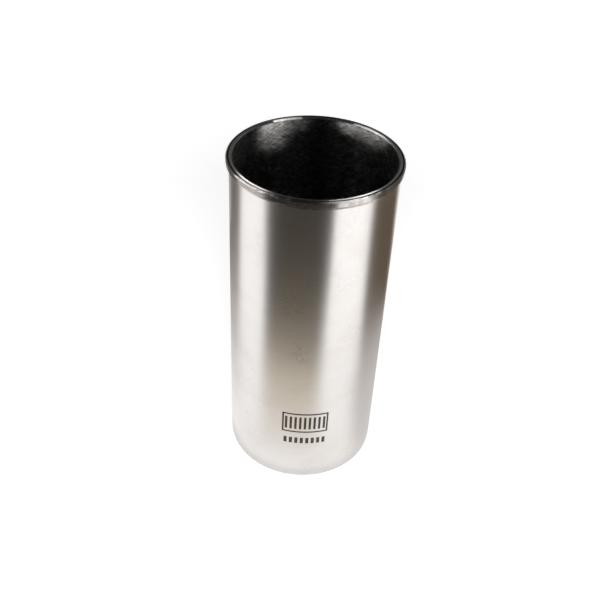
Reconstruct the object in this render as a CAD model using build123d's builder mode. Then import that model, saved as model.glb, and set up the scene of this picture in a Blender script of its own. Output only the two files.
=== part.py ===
"""Flanged dry cylinder liner of a diesel engine: one iron casting, turned, ground outside and honed inside.

The liner stands on its lower end. The origin is the centre of that end, and +Z runs up the bore to the
flange. The barrel is a press fit in the cylinder block, the flange sits in a recess in the top of the
block, and the piston runs in the bore. All sizes are in millimetres, and angles in degrees.
"""

from build123d import *

import math
import os

# Tube
bore_diameter = 100.0
wall_thickness = 2.125
overall_length = 230.0

# Flange at the top of the tube
flange_overhang = 1.875  # how far the flange stands out from the barrel
flange_thickness = 3.8
flange_top_chamfer = 0.8
flange_seat_chamfer = 0.2

# Grinding relief, the shallow groove in the corner between the flange's seat and the barrel
relief_depth = 0.25
relief_corner_radius = 0.4
relief_floor_width = 0.8  # flat floor between the corner radius and the ramp
relief_ramp_angle = 15.0  # slope of the ramp from the floor out to the barrel

# Lead-in, the slow taper that starts the barrel into the block
lead_in_length = 1.5
lead_in_depth = 0.25

# Broken edges of the bore
bore_top_chamfer = 0.8
bore_bottom_chamfer = 0.6

# Sizes that follow from those above
bore_radius = bore_diameter / 2
barrel_radius = bore_radius + wall_thickness
flange_radius = barrel_radius + flange_overhang
seat_height = overall_length - flange_thickness
relief_floor_radius = barrel_radius - relief_depth
relief_floor_bottom = seat_height - relief_corner_radius - relief_floor_width
relief_ramp_length = relief_depth / math.tan(math.radians(relief_ramp_angle))
relief_bottom = relief_floor_bottom - relief_ramp_length


def corner(section, radius, height):
    """The corner of a half section that lies nearest to this radius and height."""
    return section.vertices().sort_by_distance((radius, height))[0]


with BuildPart() as cylinder_liner:
    # Half section, with the radius along the sketch's X and the height along its Y
    with BuildSketch(Plane.XZ) as half_section:
        with Locations((bore_radius, 0)):
            Rectangle(wall_thickness, overall_length, align=(Align.MIN, Align.MIN))
        with Locations((barrel_radius, seat_height)):
            Rectangle(flange_overhang, flange_thickness, align=(Align.MIN, Align.MIN))

        with BuildLine():
            Polyline(
                (barrel_radius, seat_height),
                (relief_floor_radius, seat_height),
                (relief_floor_radius, relief_floor_bottom),
                (barrel_radius, relief_bottom),
                close=True,
            )
        make_face(mode=Mode.SUBTRACT)
        fillet(corner(half_section, relief_floor_radius, seat_height), relief_corner_radius)

        with BuildLine():
            Polyline(
                (barrel_radius - lead_in_depth, 0),
                (barrel_radius, 0),
                (barrel_radius, lead_in_length),
                close=True,
            )
        make_face(mode=Mode.SUBTRACT)

        chamfer(corner(half_section, bore_radius, 0), bore_bottom_chamfer)
        chamfer(corner(half_section, bore_radius, overall_length), bore_top_chamfer)
        chamfer(corner(half_section, flange_radius, overall_length), flange_top_chamfer)
        chamfer(corner(half_section, flange_radius, seat_height), flange_seat_chamfer)

    # Everything on the liner is turned about the bore's axis
    revolve(axis=Axis.Z)

cylinder_liner.part.label = "cylinder_liner"

os.makedirs("parts", exist_ok=True)
export_step(cylinder_liner.part, "parts/cylinder_liner.step")
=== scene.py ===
"""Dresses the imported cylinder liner: satin ground barrel, turned flange and honed bore, on a white floor."""

import math

import bpy
from mathutils import Matrix, Vector


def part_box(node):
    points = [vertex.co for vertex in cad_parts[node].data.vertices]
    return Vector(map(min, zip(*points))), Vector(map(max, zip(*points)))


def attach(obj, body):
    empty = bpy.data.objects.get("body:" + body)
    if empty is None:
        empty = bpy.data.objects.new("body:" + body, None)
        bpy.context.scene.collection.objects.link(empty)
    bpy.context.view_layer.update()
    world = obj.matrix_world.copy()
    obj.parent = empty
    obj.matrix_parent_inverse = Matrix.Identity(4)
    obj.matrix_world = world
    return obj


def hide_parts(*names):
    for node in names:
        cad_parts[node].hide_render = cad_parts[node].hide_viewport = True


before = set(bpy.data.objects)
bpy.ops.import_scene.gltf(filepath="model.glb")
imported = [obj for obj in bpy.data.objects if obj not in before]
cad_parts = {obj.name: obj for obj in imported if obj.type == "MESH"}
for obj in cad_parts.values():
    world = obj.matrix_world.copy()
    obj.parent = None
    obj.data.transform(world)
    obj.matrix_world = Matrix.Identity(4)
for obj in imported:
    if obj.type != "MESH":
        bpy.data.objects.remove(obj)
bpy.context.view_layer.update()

MM = 0.001
MICRON = 0.001 * MM
NODE = "cylinder_liner"
BODY = "root"

# Sizes of the turned section, in metres; the flange keeps to the narrowest side of the CAD's box
low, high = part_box(NODE)
LENGTH = high.z - low.z
FLANGE_RADIUS = min(high.x, high.y, -low.x, -low.y)
FLANGE_OVERHANG = 1.875 * MM
WALL = 2.125 * MM
FLANGE_THICKNESS = 3.8 * MM
TOP_CHAMFER = 0.8 * MM
SEAT_CHAMFER = 0.2 * MM
RELIEF_DEPTH = 0.25 * MM
RELIEF_CORNER = 0.4 * MM
RELIEF_FLOOR = 0.8 * MM
RELIEF_RAMP = 0.933 * MM
LEAD_IN_LENGTH = 1.5 * MM
LEAD_IN_DEPTH = 0.25 * MM
BORE_TOP_CHAMFER = 0.8 * MM
BORE_BOTTOM_CHAMFER = 0.6 * MM

BARREL_RADIUS = FLANGE_RADIUS - FLANGE_OVERHANG
BORE_RADIUS = BARREL_RADIUS - WALL
SEAT_HEIGHT = LENGTH - FLANGE_THICKNESS
RELIEF_RADIUS = BARREL_RADIUS - RELIEF_DEPTH
RELIEF_FLOOR_BOTTOM = SEAT_HEIGHT - RELIEF_CORNER - RELIEF_FLOOR
RELIEF_BOTTOM = RELIEF_FLOOR_BOTTOM - RELIEF_RAMP
SHADE_LINE_WIDTH = 1.1 * MM  # painted shade: a dark line along the top face's outer edge

SEGMENTS = 1440
SHARP_ANGLE = math.radians(12)  # the shading breaks at corners sharper than this

# Small knocks along the flange's top edge: azimuth from the camera's side and half width in degrees, depth
NICKS = [
    (-61.0, 0.7, 0.08 * MM), (-53.5, 0.5, 0.04 * MM),
    (-31.0, 0.7, 0.12 * MM), (-29.0, 0.5, 0.10 * MM), (-26.4, 0.9, 0.12 * MM), (-24.6, 0.5, 0.08 * MM),
    (-22.2, 0.9, 0.26 * MM), (-19.8, 0.5, 0.10 * MM), (-17.6, 1.0, 0.16 * MM), (-15.2, 0.6, 0.17 * MM),
    (-7.0, 0.6, 0.10 * MM), (40.5, 1.1, 0.14 * MM), (43.0, 0.6, 0.10 * MM), (97.0, 1.0, 0.18 * MM),
    (163.0, 0.8, 0.14 * MM),
]
NICK_REACH = 1.7 * MM  # how far a knock spreads from the corner
NICK_RISE = 1.6  # how fast it grows from there: it is whole before the corner itself
NICK_SHARE = 0.7  # the share of its depth that it takes off the radius, and off the height


def polar(azimuth, radius):
    """The (x, y) point at this azimuth, in degrees from the camera's side towards the right."""
    turn = math.radians(azimuth)
    return (radius * math.sin(turn), -radius * math.cos(turn))


def circle(radius):
    """The corners of a 72-sided polygon round the axis."""
    return [polar(5 * i, radius) for i in range(72)]


def blend(first, second, share):
    """The number, point or colour this share of the way from the first to the second."""
    if isinstance(first, tuple):
        return tuple(a + (b - a) * share for a, b in zip(first, second))
    return first + (second - first) * share


def between(x, points):
    """The value at x on the line through these (x, value) points."""
    if x <= points[0][0]:
        return points[0][1]
    for (x0, first), (x1, second) in zip(points, points[1:]):
        if x <= x1:
            return blend(first, second, (x - x0) / (x1 - x0))
    return points[-1][1]


def new_mesh(name, vertices, faces):
    mesh = bpy.data.meshes.new(name)
    mesh.from_pydata(vertices, [], faces)
    return mesh


def add_object(name, data):
    """A new object in the scene with this mesh, lamp or camera."""
    added = bpy.data.objects.new(name, data)
    bpy.context.scene.collection.objects.link(added)
    return added


# ---------------------------------------------------------------- node helpers
class Nodes:
    """A node tree, with short calls for the nodes used here."""

    def __init__(self, tree):
        self.tree = tree

    def add(self, kind, **settings):
        node = self.tree.nodes.new(kind)
        for key, value in settings.items():
            setattr(node, key, value)
        return node

    def join(self, source, socket):
        """Gives an input what another node puts out, or a plain value."""
        if isinstance(source, bpy.types.NodeSocket):
            self.tree.links.new(source, socket)
        else:
            socket.default_value = source

    def math(self, operation, *values):
        """One value worked out from one or two, or from more by taking in one after another."""
        node = self.add("ShaderNodeMath", operation=operation)
        for source, socket in zip(values[:2], node.inputs):
            self.join(source, socket)
        result = node.outputs[0]
        return self.math(operation, result, *values[2:]) if len(values) > 2 else result

    def from_axis(self, x, y):
        """How far a point lies from the liner's axis."""
        squares = [self.math("POWER", side, 2.0) for side in (x, y)]
        return self.math("SQRT", self.math("ADD", *squares))

    def vector(self, x, y, z):
        node = self.add("ShaderNodeCombineXYZ")
        for source, socket in zip((x, y, z), node.inputs):
            self.join(source, socket)
        return node.outputs[0]

    def noise(self, vector, scale=1.0, detail=2.0, roughness=0.5, distortion=0.0):
        node = self.add("ShaderNodeTexNoise")
        self.join(vector, node.inputs["Vector"])
        node.inputs["Scale"].default_value = scale
        node.inputs["Detail"].default_value = detail
        node.inputs["Roughness"].default_value = roughness
        node.inputs["Distortion"].default_value = distortion
        return node.outputs["Fac"]

    def remap(self, value, low_in, high_in, low_out, high_out):
        node = self.add("ShaderNodeMapRange")
        for source, socket in zip((value, low_in, high_in, low_out, high_out), node.inputs):
            self.join(source, socket)
        return node.outputs[0]

    def mix(self, factor, first, second):
        """A colour between two: this node's colour sockets come after those for numbers and vectors."""
        node = self.add("ShaderNodeMix", data_type="RGBA")
        self.join(factor, node.inputs["Factor"])
        self.join(first, node.inputs[6])
        self.join(second, node.inputs[7])
        return node.outputs[2]

    def bump(self, height, distance, normal=None):
        node = self.add("ShaderNodeBump")
        node.inputs["Distance"].default_value = distance
        self.join(height, node.inputs["Height"])
        if normal is not None:
            self.join(normal, node.inputs["Normal"])
        return node.outputs["Normal"]

    def turned_lines(self, x, y, across, coarse, close, detail=2.0):
        """Noise in lines that run round the axis, and that lie close together along the value across them."""
        round_x = self.math("MULTIPLY", x, coarse)
        round_y = self.math("MULTIPLY", y, coarse)
        return self.noise(self.vector(round_x, round_y, self.math("MULTIPLY", across, close)), detail=detail)

    def spiral(self, x, y, z, radius, climb, across, along, detail):
        """Noise drawn out along spirals that climb at this angle on a wall of this radius."""
        turn = self.add("ShaderNodeVectorRotate", rotation_type="Z_AXIS")
        self.join(self.vector(x, y, 0.0), turn.inputs["Vector"])
        self.join(self.math("MULTIPLY", z, 1 / (radius * math.tan(climb))), turn.inputs["Angle"])
        stretched = self.add("ShaderNodeVectorMath", operation="MULTIPLY_ADD")
        self.join(turn.outputs[0], stretched.inputs[0])
        stretched.inputs[1].default_value = (across, across, 0.0)
        lift = self.math("MULTIPLY", z, math.copysign(along, climb))
        self.join(self.vector(0.0, 0.0, lift), stretched.inputs[2])
        return self.noise(stretched.outputs[0], detail=detail, roughness=0.65)

    def place(self):
        """Object coordinates, in metres, as x, y and z."""
        where = self.add("ShaderNodeTexCoord").outputs["Object"]
        return self.parts(where)

    def parts(self, vector):
        node = self.add("ShaderNodeSeparateXYZ")
        self.join(vector, node.inputs[0])
        return node.outputs


class MaterialNodes(Nodes):
    """The node tree of a new material, with its shader."""

    def __init__(self, name):
        self.material = bpy.data.materials.new(name)
        self.material.use_nodes = True
        super().__init__(self.material.node_tree)
        self.shader = self.tree.nodes["Principled BSDF"]

    def feed(self, input_name, source):
        """Gives this input of the shader what a node puts out, or a plain value."""
        self.join(source, self.shader.inputs[input_name])

    def replace_shader(self, source):
        """Gives the material this shader in place of its Principled one."""
        self.tree.nodes.remove(self.shader)
        self.join(source, self.tree.nodes["Material Output"].inputs["Surface"])


def iron(name, anisotropic):
    """Bare iron whose tool marks run round the axis: the sheen is drawn out across them."""
    nodes = MaterialNodes(name)
    nodes.feed("Metallic", 1.0)
    nodes.feed("Anisotropic", anisotropic)
    nodes.feed("Anisotropic Rotation", 0.25)
    tangent = nodes.add("ShaderNodeTangent", direction_type="RADIAL", axis="Z")
    nodes.feed("Tangent", tangent.outputs[0])
    return nodes


def shade_and_wear_arcs(nodes, x, y, *places):
    """1 on the flange's edge at each azimuth, fading to 0 at its half width, and fainter nearer the axis: it
    places the arcs of painted shade, and the barrel's deeper scuffs.

    Places are (azimuth, half width), in degrees.
    """
    fades = []
    for azimuth, half_width in places:
        middle = Vector(polar(azimuth, 1))
        along = nodes.math("ADD", nodes.math("MULTIPLY", x, middle.x), nodes.math("MULTIPLY", y, middle.y))
        edge = FLANGE_RADIUS * math.cos(math.radians(half_width))
        heart = FLANGE_RADIUS * math.cos(math.radians(half_width / 3))
        fades.append(nodes.remap(along, edge, heart, 0.0, 1.0))
    return nodes.math("MAXIMUM", 0.0, *fades)


def ground_barrel():
    nodes = iron("ground_barrel", 0.7)
    x, y, z = nodes.place()
    # Grinding marks: very long round the barrel and a fraction of a millimetre apart, in wider faint bands
    fine = nodes.turned_lines(x, y, z, coarse=14.0, close=3000.0, detail=3.0)
    bands = nodes.turned_lines(x, y, z, coarse=14.0, close=260.0)
    # Faint stains from handling, in soft patches
    where = nodes.vector(x, y, z)
    stains = nodes.noise(where, scale=28.0, detail=4.0, roughness=0.6)
    darker, lighter = (0.766, 0.747, 0.734, 1), (0.778, 0.760, 0.748, 1)
    stain, scratched, pitted = (0.68, 0.63, 0.59, 1), (0.36, 0.33, 0.30, 1), (0.30, 0.28, 0.26, 1)
    color = nodes.mix(nodes.remap(bands, 0.35, 0.65, 0.0, 1.0), darker, lighter)
    color = nodes.mix(nodes.remap(stains, 0.50, 0.75, 0.0, 0.4), color, stain)
    # Specks: pin-head marks, a little darker than the metal round them
    cells = nodes.add("ShaderNodeTexVoronoi", feature="F1")
    nodes.join(where, cells.inputs["Vector"])
    cells.inputs["Scale"].default_value = 420.0
    chosen = nodes.noise(where, scale=150.0, detail=1.0)
    speck = nodes.math(
        "MULTIPLY",
        nodes.remap(cells.outputs["Distance"], 0.10, 0.20, 1.0, 0.0),
        nodes.remap(chosen, 0.62, 0.66, 0.0, 1.0),
    )
    # Scuffs: thin curled scratches where other parts rubbed
    rubbed = nodes.remap(nodes.noise(where, scale=38.0, detail=2.0), 0.50, 0.64, 0.0, 1.0)
    curls = nodes.noise(where, scale=330.0, detail=3.0, distortion=1.2)
    scratch = nodes.remap(nodes.math("ABSOLUTE", nodes.math("SUBTRACT", curls, 0.5)), 0.02, 0.07, 1.0, 0.0)
    scuff = nodes.math("MULTIPLY", rubbed, scratch)
    # They are deeper on the front, from above the mark to two thirds of the height
    above = nodes.remap(z, 0.085, 0.100, 0.0, 1.0)
    below = nodes.remap(z, 0.145, 0.165, 1.0, 0.0)
    front = nodes.math("MULTIPLY", above, below, shade_and_wear_arcs(nodes, x, y, (-9.0, 32.0)), 0.32)
    scuff = nodes.math("MULTIPLY", scuff, nodes.math("ADD", 0.13, front))
    color = nodes.mix(scuff, color, scratched)
    nodes.feed("Base Color", nodes.mix(nodes.math("MULTIPLY", speck, 0.35), color, pitted))
    rough = nodes.remap(fine, 0.3, 0.7, 0.275, 0.287)
    rough = nodes.math("ADD", rough, nodes.math("MULTIPLY", speck, 0.10))
    nodes.feed("Roughness", rough)
    marks = nodes.bump(fine, 0.4 * MICRON)
    marks = nodes.bump(scuff, -40 * MICRON, marks)
    nodes.feed("Normal", nodes.bump(speck, -10 * MICRON, marks))
    return nodes.material


def turned_rim():
    nodes = iron("turned_rim", 0.75)
    x, y, z = nodes.place()
    lines = nodes.turned_lines(x, y, z, coarse=25.0, close=3500.0)
    dirt = nodes.noise(nodes.vector(x, y, z), scale=260.0, detail=5.0, roughness=0.65)
    clean, dirty = (0.52, 0.50, 0.48, 1), (0.20, 0.175, 0.155, 1)
    # Painted shade: darker arcs on the rim at the front left and front right, which dim its highlight there.
    dim_tone, shade_and_dent_tone = (0.20, 0.19, 0.185, 1), (0.28, 0.25, 0.235, 1)
    dimmed = nodes.math("MULTIPLY", shade_and_wear_arcs(nodes, x, y, (-46.0, 22.0)), 0.6)
    rim_shade = shade_and_wear_arcs(nodes, x, y, (-27.0, 12.0), (12.0, 4.0), (41.0, 4.0))
    rim_shade = nodes.math("MULTIPLY", rim_shade, nodes.remap(dirt, 0.3, 0.5, 0.2, 1.0))
    color = nodes.mix(nodes.remap(dirt, 0.45, 0.72, 0.0, 0.7), clean, dirty)
    color = nodes.mix(dimmed, color, dim_tone)
    nodes.feed("Base Color", nodes.mix(rim_shade, color, shade_and_dent_tone))
    nodes.feed("Roughness", nodes.remap(dirt, 0.4, 0.7, 0.22, 0.30))
    nodes.feed("Normal", nodes.bump(lines, 4 * MICRON))
    return nodes.material


def mottled_with_painted_shade(name, color, roughness):
    """Mottled iron of this colour, with painted shade in darker arcs at the front and front right."""
    nodes = iron(name, 0.4)
    x, y, z = nodes.place()
    dirt = nodes.noise(nodes.vector(x, y, z), scale=600.0, detail=4.0, roughness=0.6)
    dark = tuple(0.7 * channel for channel in color)
    # Painted shade: near-black arcs at the front and front right, over the mottled colour.
    arc_shade_tone = (0.10, 0.09, 0.08, 1)
    mottled = nodes.mix(nodes.remap(dirt, 0.35, 0.65, 0.0, 1.0), (*color, 1), (*dark, 1))
    arc_shade = shade_and_wear_arcs(nodes, x, y, (-9.0, 26.0), (41.0, 5.0))
    arc_shade = nodes.math("MULTIPLY", arc_shade, nodes.remap(dirt, 0.3, 0.5, 0.4, 1.0))
    nodes.feed("Base Color", nodes.mix(arc_shade, mottled, arc_shade_tone))
    nodes.feed("Roughness", roughness)
    nodes.feed("Normal", nodes.bump(dirt, 10 * MICRON))
    return nodes.material


def relief_groove():
    return mottled_with_painted_shade("relief_groove", (0.76, 0.74, 0.72), 0.30)


def shaded_seat_corner():
    # Painted shade: the corner under the flange is coloured darker than the barrel.
    return mottled_with_painted_shade("shaded_seat_corner", (0.40, 0.38, 0.37), 0.38)


def painted_shade_line():
    # Painted shade: a near-black line along the top face's outer edge.
    return mottled_with_painted_shade("painted_shade_line", (0.045, 0.042, 0.04), 0.45)


def broken_edge():
    nodes = iron("broken_edge", 0.85)
    x, y, z = nodes.place()
    dents = nodes.noise(nodes.vector(x, y, z), scale=900.0, detail=4.0, roughness=0.6)
    bright, shade_and_dent_tone = (0.46, 0.44, 0.42, 1), (0.17, 0.16, 0.15, 1)
    color = nodes.mix(nodes.remap(dents, 0.45, 0.70, 0.0, 0.8), bright, shade_and_dent_tone)
    # Painted shade: darker arcs at the front and front right; the dents take the same dark tone.
    painted_shade_arcs = shade_and_wear_arcs(nodes, x, y, (-11.0, 21.0), (12.5, 6.0), (41.0, 10.0))
    nodes.feed("Base Color", nodes.mix(painted_shade_arcs, color, shade_and_dent_tone))
    nodes.feed("Roughness", 0.33)
    nodes.feed("Normal", nodes.bump(dents, 30 * MICRON))
    return nodes.material


def bore_lip():
    nodes = iron("bore_lip", 0.9)
    x, y, z = nodes.place()
    dents = nodes.noise(nodes.vector(x, y, z), scale=700.0, detail=4.0, roughness=0.6)
    bright, dented, shade_and_dent_tone = (0.66, 0.64, 0.63, 1), (0.25, 0.23, 0.22, 1), (0.22, 0.21, 0.20, 1)
    color = nodes.mix(nodes.remap(dents, 0.40, 0.70, 0.0, 0.8), bright, dented)
    # Painted shade: a darker arc on the lip at the back left.
    painted_shade_arcs = shade_and_wear_arcs(nodes, x, y, (228.0, 22.0))
    nodes.feed("Base Color", nodes.mix(painted_shade_arcs, color, shade_and_dent_tone))
    nodes.feed("Roughness", 0.44)
    nodes.feed("Normal", nodes.bump(dents, 30 * MICRON))
    return nodes.material


def turned_top():
    nodes = iron("turned_top", 1.0)
    x, y, _ = nodes.place()
    radius = nodes.from_axis(x, y)
    lines = nodes.turned_lines(x, y, radius, coarse=20.0, close=3200.0)
    valley, ridge, shade_and_dent_tone = (0.62, 0.61, 0.60, 1), (0.82, 0.81, 0.80, 1), (0.065, 0.062, 0.058, 1)
    color = nodes.mix(nodes.remap(lines, 0.35, 0.65, 0.0, 1.0), valley, ridge)
    # Painted shade: near-black arcs on the top face at the front and at the back.
    painted_shade_arcs = shade_and_wear_arcs(nodes, x, y, (-11.5, 20.0), (172.0, 28.0))
    nodes.feed("Base Color", nodes.mix(painted_shade_arcs, color, shade_and_dent_tone))
    nodes.feed("Roughness", 0.33)
    # Every feed mark leans outward, so this face mirrors what stands low round the liner
    lean = nodes.bump(radius, -0.7)
    nodes.feed("Normal", nodes.bump(lines, 4 * MICRON, lean))
    return nodes.material


HONE_ANGLE = math.radians(28)


def honed_bore():
    """Two crossing sets of fine spiral scratches."""
    nodes = iron("honed_bore", 1.0)
    x, y, z = nodes.place()
    hatch = nodes.math("MINIMUM", *(
        nodes.spiral(x, y, z, BORE_RADIUS, climb, across=1300.0, along=260.0, detail=4.0)
        for climb in (HONE_ANGLE, -HONE_ANGLE)
    ))
    nodes.feed("Normal", nodes.bump(hatch, 70 * MICRON))
    patches = nodes.noise(nodes.vector(x, y, z), scale=240.0, detail=3.0, roughness=0.6)
    scratch, plateau = (0.05, 0.048, 0.046, 1), (0.42, 0.41, 0.40, 1)
    between_scratches = nodes.remap(hatch, 0.40, 0.54, 0.0, 1.0)
    bright = nodes.math("MULTIPLY", between_scratches, nodes.remap(patches, 0.3, 0.6, 0.3, 1.0))
    nodes.feed("Base Color", nodes.mix(bright, scratch, plateau))
    nodes.feed("Roughness", 0.34)
    return nodes.material


# ---------------------------------------------------------------- the turned mesh
def spread(start, end, steps):
    """Points from start up to but not including end."""
    return [blend(start, end, i / steps) for i in range(steps)]


def half_section():
    """The closed half section, as (radius, height, zone of the strip that starts there)."""
    bore_low = (BORE_RADIUS, BORE_BOTTOM_CHAMFER)
    bore_high = (BORE_RADIUS, LENGTH - BORE_TOP_CHAMFER)
    top_inner = (BORE_RADIUS + BORE_TOP_CHAMFER, LENGTH)
    top_outer = (FLANGE_RADIUS - TOP_CHAMFER - SHADE_LINE_WIDTH, LENGTH)
    line_outer = (FLANGE_RADIUS - TOP_CHAMFER, LENGTH)
    rim_high = (FLANGE_RADIUS, LENGTH - TOP_CHAMFER)
    rim_low = (FLANGE_RADIUS, SEAT_HEIGHT + SEAT_CHAMFER)
    seat_outer = (FLANGE_RADIUS - SEAT_CHAMFER, SEAT_HEIGHT)
    seat_inner = (RELIEF_RADIUS + RELIEF_CORNER, SEAT_HEIGHT)
    corner_middle = (RELIEF_RADIUS + RELIEF_CORNER, SEAT_HEIGHT - RELIEF_CORNER)
    corner = [
        (corner_middle[0] - RELIEF_CORNER * math.sin(turn), corner_middle[1] + RELIEF_CORNER * math.cos(turn))
        for turn in (math.radians(15 * i) for i in range(6))
    ]
    relief_high = (RELIEF_RADIUS, SEAT_HEIGHT - RELIEF_CORNER)
    relief_low = (RELIEF_RADIUS, RELIEF_FLOOR_BOTTOM)
    barrel_high = (BARREL_RADIUS, RELIEF_BOTTOM)
    barrel_low = (BARREL_RADIUS, LEAD_IN_LENGTH)
    foot_outer = (BARREL_RADIUS - LEAD_IN_DEPTH, 0)
    foot_inner = (BORE_RADIUS + BORE_BOTTOM_CHAMFER, 0)
    strips = [
        ("edge", spread(foot_inner, bore_low, 1)),
        ("bore", spread(bore_low, bore_high, 8)),
        ("lip", spread(bore_high, top_inner, 2)),
        ("top", spread(top_inner, top_outer, 6)),
        ("shade_line", spread(top_outer, line_outer, 1)),
        ("edge", spread(line_outer, rim_high, 4)),
        ("rim", spread(rim_high, rim_low, 8)),
        ("corner", spread(rim_low, seat_outer, 1)),
        ("corner", spread(seat_outer, seat_inner, 2)),
        ("corner", corner),
        ("relief", spread(relief_high, relief_low, 1)),
        ("relief", spread(relief_low, barrel_high, 1)),
        ("barrel", spread(barrel_high, barrel_low, 8)),
        ("barrel", spread(barrel_low, foot_outer, 1)),
        ("edge", spread(foot_outer, foot_inner, 1)),
    ]
    return [(radius, height, zone) for zone, points in strips for radius, height in points]


def nick(azimuth):
    """How deep the flange's top edge is knocked in at this azimuth, in metres."""
    return max(
        max(0.0, 1 - ((azimuth - middle) / half_width) ** 2) * depth
        for middle, half_width, depth in NICKS
    )


def turned_liner(materials):
    section = half_section()
    rings = len(section)
    vertices = []
    for i in range(SEGMENTS):
        azimuth = (360 * i / SEGMENTS + 180) % 360 - 180
        depth = nick(azimuth)
        for radius, height, _ in section:
            if depth > 0 and radius > FLANGE_RADIUS - NICK_REACH and height > LENGTH - NICK_REACH:
                near = min(1.0, NICK_RISE * (radius - FLANGE_RADIUS + NICK_REACH) / NICK_REACH)
                near *= min(1.0, NICK_RISE * (height - LENGTH + NICK_REACH) / NICK_REACH)
                radius -= NICK_SHARE * depth * near
                height -= NICK_SHARE * depth * near
            vertices.append((*polar(azimuth, radius), height))
    faces = []
    zones = []
    for i in range(SEGMENTS):
        here = i * rings
        there = (i + 1) % SEGMENTS * rings
        for k in range(rings):
            after = (k + 1) % rings
            faces.append((here + k, here + after, there + after, there + k))
            zones.append(section[k][2])
    mesh = new_mesh("liner_surface", vertices, faces)
    order = list(materials)
    for zone in order:
        mesh.materials.append(materials[zone])
    mesh.polygons.foreach_set("material_index", [order.index(zone) for zone in zones])
    mesh.polygons.foreach_set("use_smooth", [True] * len(faces))
    mesh.set_sharp_from_angle(angle=SHARP_ANGLE)
    mesh.update()
    return add_object("liner_surface", mesh)


# The corner under the flange and the line at the top face's outer edge carry painted shade.
liner = turned_liner({
    "barrel": ground_barrel(),
    "rim": turned_rim(),
    "corner": shaded_seat_corner(),
    "relief": relief_groove(),
    "lip": bore_lip(),
    "edge": broken_edge(),
    "top": turned_top(),
    "shade_line": painted_shade_line(),
    "bore": honed_bore(),
})
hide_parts(NODE)
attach(liner, BODY)


# ---------------------------------------------------------------- the plain etched mark
MARK_AZIMUTH = 3.5
MARK_WIDTH = 31.8 * MM
MARK_LOW, MARK_HIGH = 44.7 * MM, 62.8 * MM
MARK_LINE = 1.2 * MM
MARK_MARGIN = 3.3 * MM
MARK_BARS = 9
DASHES = 8
DASH_PITCH = 3.8 * MM
DASH_WIDTH = 2.2 * MM
DASH_LOW, DASH_HIGH = 34.0 * MM, 39.5 * MM
MARK_DEPTH, MARK_PROUD = 0.02 * MM, 0.02 * MM
MARK_STEP = 0.8 * MM  # round the barrel, between a plate's corners


def on_barrel(along, height, proud):
    """A point this far round the barrel from the mark's middle, and this far out from the surface."""
    return (*polar(MARK_AZIMUTH + math.degrees(along / BARREL_RADIUS), BARREL_RADIUS + proud), height)


def patch(along, width, bottom, top):
    """A thin curved plate on the barrel, as (vertices, faces); along and width run round the barrel."""
    section = ((bottom, -MARK_DEPTH), (bottom, MARK_PROUD), (top, MARK_PROUD), (top, -MARK_DEPTH))
    steps = max(1, round(width / MARK_STEP))
    vertices = []
    for i in range(steps + 1):
        here = along + width * (i / steps - 0.5)
        vertices += [on_barrel(here, height, proud) for height, proud in section]
    faces = [(0, 3, 2, 1), tuple(4 * steps + k for k in range(4))]
    for i in range(steps):
        for k in range(4):
            faces.append((4 * i + k, 4 * i + (k + 1) % 4, 4 * i + 4 + (k + 1) % 4, 4 * i + 4 + k))
    return vertices, faces


def etched_mark():
    """A square frame with upright bars in it, and a row of short dashes under it."""
    inside = MARK_WIDTH - 2 * MARK_LINE
    side = (MARK_WIDTH - MARK_LINE) / 2
    plates = [
        patch(0, MARK_WIDTH, MARK_LOW, MARK_LOW + MARK_LINE),
        patch(0, MARK_WIDTH, MARK_HIGH - MARK_LINE, MARK_HIGH),
        patch(-side, MARK_LINE, MARK_LOW + MARK_LINE, MARK_HIGH - MARK_LINE),
        patch(side, MARK_LINE, MARK_LOW + MARK_LINE, MARK_HIGH - MARK_LINE),
    ]
    for i in range(MARK_BARS):
        along = inside * ((i + 0.5) / MARK_BARS - 0.5)
        plates.append(patch(along, inside / MARK_BARS / 2, MARK_LOW + MARK_MARGIN, MARK_HIGH - MARK_MARGIN))
    for i in range(DASHES):
        along = DASH_PITCH * (i - (DASHES - 1) / 2)
        plates.append(patch(along, DASH_WIDTH, DASH_LOW, DASH_HIGH))
    vertices, faces = [], []
    for plate_vertices, plate_faces in plates:
        start = len(vertices)
        vertices += plate_vertices
        faces += [tuple(start + k for k in face) for face in plate_faces]
    mesh = new_mesh("etched_mark", vertices, faces)
    mesh.materials.append(etching())
    mesh.update()
    return add_object("etched_mark", mesh)


def etching():
    """Iron darkened and dulled by the acid of the etching pad."""
    nodes = iron("etching", 0.4)
    x, y, z = nodes.place()
    wear = nodes.noise(nodes.vector(x, y, z), scale=900.0, detail=4.0, roughness=0.6)
    burnt, worn = (0.085, 0.07, 0.058, 1), (0.30, 0.27, 0.24, 1)
    nodes.feed("Base Color", nodes.mix(nodes.remap(wear, 0.45, 0.75, 0.0, 0.6), burnt, worn))
    nodes.feed("Roughness", 0.5)
    return nodes.material


mark = etched_mark()
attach(mark, BODY)


# ---------------------------------------------------------------- camera
CAMERA_PLACE = Vector((-0.00145, -0.44219, 0.46799))
CAMERA_YAW = math.radians(0.466)
CAMERA_PITCH = math.radians(-38.255)
CAMERA_ROLL = math.radians(2.956)
CAMERA_LENS = 49.70

camera_data = bpy.data.cameras.new("camera")
camera_data.lens = CAMERA_LENS
camera_data.sensor_width = 36
camera_data.clip_start = 0.01
camera = add_object("camera", camera_data)
camera.matrix_world = (
    Matrix.Translation(CAMERA_PLACE)
    @ Matrix.Rotation(CAMERA_YAW, 4, "Z")
    @ Matrix.Rotation(math.pi / 2 + CAMERA_PITCH, 4, "X")
    @ Matrix.Rotation(CAMERA_ROLL, 4, "Z")
)
bpy.context.scene.camera = camera


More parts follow.
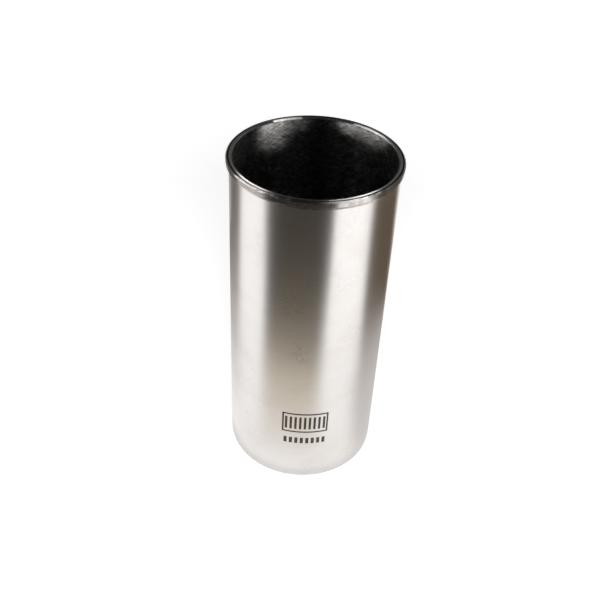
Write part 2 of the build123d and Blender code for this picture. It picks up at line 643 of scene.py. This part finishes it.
# ---------------------------------------------------------------- stage
def sheet(name, corners, height, material):
    """A flat stage piece at this height, from its (x, y) corners."""
    mesh = new_mesh(name, [(x, y, height) for x, y in corners], [tuple(range(len(corners)))])
    mesh.materials.append(material)
    piece = add_object(name, mesh)
    return piece


FLOOR_WHITE = (0.8, 0.8, 0.8, 1)
GLOW_RADII = 0.38, 0.90  # from the first to the second the floor's own glow for the camera grows
CAMERA_GLOW = 0.645, 0.905
GLOSSY_GLOW = 0.30  # what reflections see of it


def floor_material():
    """White paper: it takes the liner's shadow, and shows white to the camera, whiter further out."""
    nodes = MaterialNodes("white_floor")
    diffuse = nodes.add("ShaderNodeBsdfDiffuse")
    diffuse.inputs["Color"].default_value = FLOOR_WHITE
    glow = nodes.add("ShaderNodeEmission")
    path = nodes.add("ShaderNodeLightPath")
    x, y, _ = nodes.place()
    outward = nodes.remap(nodes.from_axis(x, y), *GLOW_RADII, *CAMERA_GLOW)
    camera_glow = nodes.math("MULTIPLY", path.outputs["Is Camera Ray"], outward)
    glossy_glow = nodes.math("MULTIPLY", path.outputs["Is Glossy Ray"], GLOSSY_GLOW)
    nodes.join(nodes.math("ADD", camera_glow, glossy_glow), glow.inputs["Strength"])
    both = nodes.add("ShaderNodeAddShader")
    nodes.join(diffuse.outputs[0], both.inputs[0])
    nodes.join(glow.outputs[0], both.inputs[1])
    nodes.replace_shader(both.outputs[0])
    return nodes.material


def plain_white():
    nodes = MaterialNodes("floor_in_the_bore")
    nodes.feed("Base Color", FLOOR_WHITE)
    nodes.feed("Roughness", 0.9)
    return nodes.material


HALF_FLOOR = 3.0
floor_corners = [(x * HALF_FLOOR, y * HALF_FLOOR) for x, y in ((-1, -1), (1, -1), (1, 1), (-1, 1))]
floor = sheet("floor", floor_corners, 0, floor_material())
# Inside the liner the floor doesn't glow
sheet("floor_in_the_bore", circle(BORE_RADIUS + 0.3 * MM), 0.05 * MM, plain_white())


SOFTBOX_DISTANCE = 0.60


def softbox(name, azimuth, bottom, top, width, radiance):
    """An upright rectangular lamp that faces the liner's axis."""
    data = bpy.data.lights.new(name, "AREA")
    data.shape = "RECTANGLE"
    data.size = width
    data.size_y = top - bottom
    data.energy = radiance * math.pi * data.size * data.size_y
    data.cycles.use_multiple_importance_sampling = False
    outward = Vector((*polar(azimuth, 1), 0))
    up = Vector((0, 0, 1))
    middle = outward * SOFTBOX_DISTANCE + up * (bottom + top) / 2
    facing = Matrix((up.cross(outward), up, outward)).transposed().to_4x4()
    lamp = add_object(name, data)
    lamp.matrix_world = Matrix.Translation(middle) @ facing
    lamp.visible_camera = False
    return lamp


def group(name, *pieces):
    """A collection that isn't in the scene, for a lamp's light linking."""
    collection = bpy.data.collections.new(name)
    for piece in pieces:
        collection.objects.link(piece)
    return collection


def lights_only(lamp, *lit):
    """Keeps a lamp's light on these objects."""
    lamp.light_linking.receiver_collection = group(lamp.name + "_lights", *lit)


def only_blocks(mesh):
    """A stage piece that stops the softboxes' light and that nothing else sees."""
    piece = add_object(mesh.name, mesh)
    piece.visible_camera = False
    piece.visible_diffuse = False
    piece.visible_glossy = False
    piece.visible_transmission = False
    return piece


def flag(name, inner, outer, height):
    """A flat ring round the axis."""
    rings = circle(inner) + circle(outer)
    steps = len(rings) // 2
    faces = [(i, (i + 1) % steps, steps + (i + 1) % steps, steps + i) for i in range(steps)]
    return only_blocks(new_mesh(name, [(x, y, height) for x, y in rings], faces))


def rim_card(name, start, end, radius, bottom, top):
    """An upright strip along the flange that keeps softboxes off its edge between two azimuths."""
    steps = 24
    vertices = []
    for i in range(steps + 1):
        x, y = polar(start + (end - start) * i / steps, radius)
        vertices += [(x, y, bottom), (x, y, top)]
    faces = [(2 * i, 2 * i + 2, 2 * i + 3, 2 * i + 1) for i in range(steps)]
    return only_blocks(new_mesh(name, vertices, faces))


# One flag keeps all softboxes off the barrel, the other keeps the high ones out of the bore
BARREL_FLAG_HEIGHT = SEAT_HEIGHT - 0.6 * MM
BARREL_FLAG_REACH = 0.58
barrel_flag = flag("barrel_flag", BARREL_RADIUS + 0.6 * MM, BARREL_FLAG_REACH, BARREL_FLAG_HEIGHT)
bore_flag = flag("bore_flag", 0.1 * MM, BORE_RADIUS - 2 * MM, LENGTH + 0.2 * MM)

# Where the cards stand: radius, bottom and top, just outside the flange or just inside the bore
OUTSIDE = (FLANGE_RADIUS + 0.4 * MM, BARREL_FLAG_HEIGHT, LENGTH + 0.5 * MM)
INSIDE = (BORE_RADIUS - 0.5 * MM, LENGTH - BORE_TOP_CHAMFER, LENGTH + 1.5 * MM)
back_cards = [rim_card("back_card", 153, 191, *INSIDE), rim_card("back_left_card", 213, 240, *INSIDE)]
front_cards = [
    rim_card("left_card", -32, -6, *OUTSIDE),
    rim_card("far_left_card", -76, -59, *OUTSIDE),
    rim_card("right_card", 35, 50, *OUTSIDE),
]
low_blockers = group("blocks_low_softboxes", liner, barrel_flag, *back_cards, *front_cards)
high_blockers = group("blocks_high_softboxes", liner, barrel_flag, bore_flag, *back_cards)

# Azimuth in degrees, bottom, top and width in metres, radiance
LOW_SOFTBOXES = {
    "softbox_left": (-86, 0.25, 0.325, 0.46, 20.0),
    "softbox_front_left": (-46, 0.245, 0.292, 0.31, 40.0),
    "softbox_right": (66, 0.25, 0.37, 0.39, 26.0),
    "softbox_front_right": (33, 0.25, 0.30, 0.27, 14.0),
}
HIGH_SOFTBOXES = {
    "softbox_high_left": (-90, 0.576, 0.733, 0.66, 5.0),
    "softbox_high_right": (52, 0.576, 0.733, 0.68, 8.5),
}
for softboxes, blockers in ((LOW_SOFTBOXES, low_blockers), (HIGH_SOFTBOXES, high_blockers)):
    for name, measures in softboxes.items():
        lamp = softbox(name, *measures)
        lights_only(lamp, liner, mark)
        lamp.light_linking.blocker_collection = blockers

# A small lamp beside the camera: the liner hides its own shadow but for a soft margin at each side
HALO_SIZE = 0.13
HALO_POWER = 2.6
HALO_SIDESTEP = 0.02
halo_data = bpy.data.lights.new("lamp_at_the_camera", "AREA")
halo_data.size = HALO_SIZE
halo_data.energy = HALO_POWER
halo = add_object("lamp_at_the_camera", halo_data)
halo.matrix_world = Matrix.Translation((HALO_SIDESTEP, 0, 0)) @ camera.matrix_world
halo.visible_camera = False
lights_only(halo, floor)
halo.light_linking.blocker_collection = group("blocks_the_lamp", liner)

# Glow that the reflected floor shows to the metal, painted reflection from brighter than white to near black
WHITE, BRIGHT_WHITE = (1.28, 1.27, 1.25), (1.42, 1.40, 1.38)
PAPER = (1.13, 1.11, 1.09)
SHADED_PAPER = (0.80, 0.78, 0.76)
SHADED_CREAM = (0.93, 0.875, 0.82)
CREAM = (0.83, 0.75, 0.60)
GREY = (0.60, 0.56, 0.54)
TAUPE = (0.30, 0.27, 0.25)
UMBER = (0.16, 0.145, 0.13)
BROWN = (0.13, 0.10, 0.068)
BLACK = (0.031, 0.025, 0.020)

# Sectors round the foot, as (ends, colors): where each ends, as (radius, azimuth) points, and its colours,
# as (radius, colour) points
SECTORS = [
    ([(0.40, -178), (0.50, -150), (2.0, -146)],
     [(0.06, SHADED_PAPER), (0.30, GREY), (0.45, PAPER)]),
    ([(0.056, -78), (0.188, -101), (0.312, -106), (2.0, -111.4)],
     [(0.07, PAPER), (0.19, GREY), (0.28, TAUPE), (0.40, UMBER)]),
    ([(0.056, -41), (0.18, -53), (0.405, -61.3), (2.0, -64)],
     [(0.14, PAPER), (0.30, WHITE)]),
    ([(0.060, 17), (0.19, 20.3), (0.228, 21.8), (0.288, 26.2), (0.40, 28.3), (2.0, 29.5)],
     [(0.06, PAPER), (0.10, SHADED_CREAM), (0.14, CREAM), (0.165, CREAM), (0.185, BROWN), (0.22, BROWN),
      (0.25, BLACK)]),
    ([(0.063, 60), (0.19, 76.0), (0.415, 81), (2.0, 84.3)],
     [(0.14, PAPER), (0.30, BRIGHT_WHITE)]),
    ([(0.06, 135), (0.18, 140), (0.40, 144), (0.50, 139), (2.0, 139)],
     [(0.07, SHADED_PAPER), (0.17, GREY), (0.21, BROWN)]),
    ([(0.06, 182), (2.0, 182)],
     [(0.06, SHADED_PAPER), (0.30, GREY), (0.45, PAPER)]),
]
EDGE_SOFTNESS = [(0.06, 18.0), (0.13, 14.0), (0.22, 7.5), (0.27, 4.0), (0.32, 1.5)]

# A pale patch of glow behind at each side, painted reflection which the flange's edge shows next to its
# outline:
# its azimuth and half width, in degrees, and how pale it is
PALE_GLOW_PATCHES = [(-150, 13, 0.6), (150, 12, 0.8)]
PALE_GLOW_DEPTH = [(0.29, 0.0), (0.31, 1.0), (0.42, 1.0), (0.48, 0.0)]


def reflected_glow_color(azimuth, radius):
    """What the reflected floor glows at this place: the sectors run into one another, and the pale patches lie
    over them.
    """
    color = between(radius, SECTORS[0][1])
    softness = between(radius, EDGE_SOFTNESS)
    for (ends, _), (_, colors) in zip(SECTORS, SECTORS[1:]):
        share = min(1.0, max(0.0, 0.5 + (azimuth - between(radius, ends)) / (2 * softness)))
        color = blend(color, between(radius, colors), share * share * (3 - 2 * share))
    for middle, half_width, paleness in PALE_GLOW_PATCHES:
        across = max(0.0, 1.0 - ((azimuth - middle) / half_width) ** 2)
        color = blend(color, PAPER, paleness * across * between(radius, PALE_GLOW_DEPTH))
    return color


def reflected_floor():
    """A glowing ring on the floor that only the metal's reflections show, painted reflection with its colours
    on its vertices.
    """
    inner, outer = 0.056, 2.4
    rings, steps = 91, 720
    vertices, colors, faces = [], [], []
    for k in range(rings):
        radius = inner * (outer / inner) ** (k / (rings - 1))
        for i in range(steps):
            azimuth = -180 + 360 * i / steps
            vertices.append((*polar(azimuth, radius), 1 * MM))
            colors += [*reflected_glow_color(azimuth, radius), 1.0]
    for start in range(0, (rings - 1) * steps, steps):
        for i in range(steps):
            after = (i + 1) % steps
            faces.append((start + i, start + after, start + steps + after, start + steps + i))
    mesh = new_mesh("reflected_floor", vertices, faces)
    mesh.attributes.new("glow", "FLOAT_COLOR", "POINT").data.foreach_set("color", colors)
    nodes = MaterialNodes("reflected_floor")
    glow = nodes.add("ShaderNodeEmission")
    nodes.join(nodes.add("ShaderNodeAttribute", attribute_name="glow").outputs["Color"], glow.inputs["Color"])
    nodes.replace_shader(glow.outputs[0])
    mesh.materials.append(nodes.material)
    piece = add_object("reflected_floor", mesh)
    piece.visible_camera = False
    piece.visible_diffuse = False
    piece.visible_shadow = False
    piece.visible_transmission = False


reflected_floor()


# ---------------------------------------------------------------- world
CAMERA_SKY, DIFFUSE_SKY, SIDE_SKY, DARK_SKY = 1.0, 0.3, 0.10, 0.03
SIDE_FADE = 0.08, 0.40  # how far sideways a direction points where the pale sides begin and are full
TOP_FADE = 0.62, 0.80  # how far up it points where they begin to darken and are gone

world = bpy.data.worlds.new("world")
bpy.context.scene.world = world
world.use_nodes = True
sky = Nodes(world.node_tree)
path = sky.add("ShaderNodeLightPath")
direction = sky.parts(sky.add("ShaderNodeTexCoord").outputs["Generated"])
# What metal sees above the floor: pale at both sides, dark in the middle and overhead
aside = sky.remap(sky.math("ABSOLUTE", direction[0]), *SIDE_FADE, 0.0, 1.0)
not_overhead = sky.remap(direction[2], *TOP_FADE, 1.0, 0.0)
seen_by_metal = sky.math("ADD", DARK_SKY, sky.math("MULTIPLY", SIDE_SKY, aside, not_overhead))
level = sky.math(
    "ADD",
    sky.math("MULTIPLY", path.outputs["Is Camera Ray"], CAMERA_SKY),
    sky.math("MULTIPLY", path.outputs["Is Diffuse Ray"], DIFFUSE_SKY),
    sky.math("MULTIPLY", path.outputs["Is Glossy Ray"], seen_by_metal),
)
background = world.node_tree.nodes["Background"]
background.inputs["Color"].default_value = (1, 1, 1, 1)
sky.join(level, background.inputs["Strength"])

bpy.context.scene.view_settings.view_transform = "Standard"
